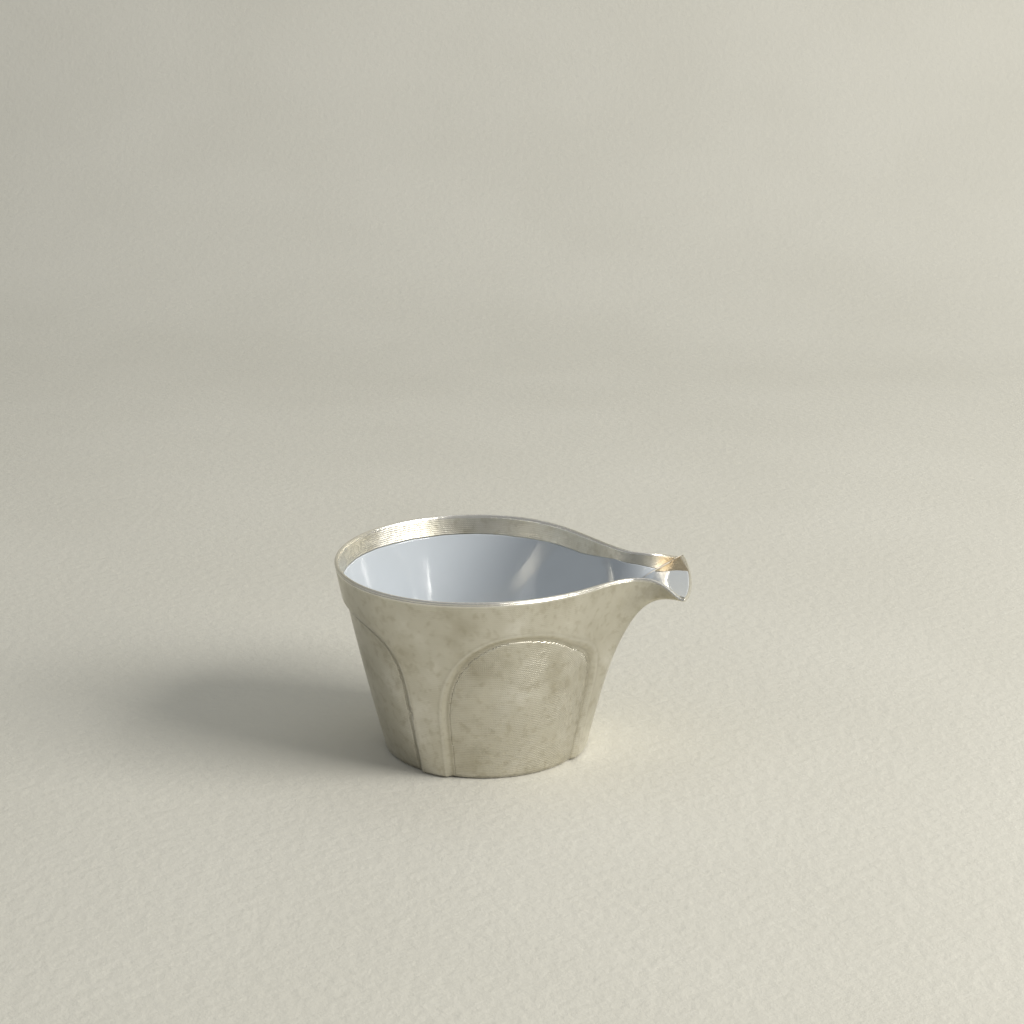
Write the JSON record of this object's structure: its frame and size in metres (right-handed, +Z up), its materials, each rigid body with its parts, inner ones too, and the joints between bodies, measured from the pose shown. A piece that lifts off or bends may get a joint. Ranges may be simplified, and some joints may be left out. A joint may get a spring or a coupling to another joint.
{
  "type": "tea pitcher",
  "caption": "Tapered tea pitcher with a wide, flared pouring spout at the rim, silver outside with sunken arches round the wall, and a pale glaze inside.",
  "frame": {"origin": "on the table, under the middle of the pitcher's overall length, in its plane of symmetry", "axes": "+X from the back of the bowl to the tip of the spout, +Y to the left when seen from behind the bowl, +Z up"},
  "size_m": [0.1056, 0.0906, 0.0587],
  "materials": {
    "porcelain": "matte",
    "inner_glaze": "glossy",
    "silver": "satin",
    "textured_silver": "satin"
  },
  "bodies": {
    "root": {"porcelain_bowl": "porcelain", "porcelain_spout": "porcelain", "interior_glaze": "inner_glaze", "base_glaze": "inner_glaze", "silver_jacket": "silver", "left_panel": "textured_silver", "right_panel": "textured_silver", "back_panel": "textured_silver", "rim_band": "silver"}
  },
  "joints": []
}
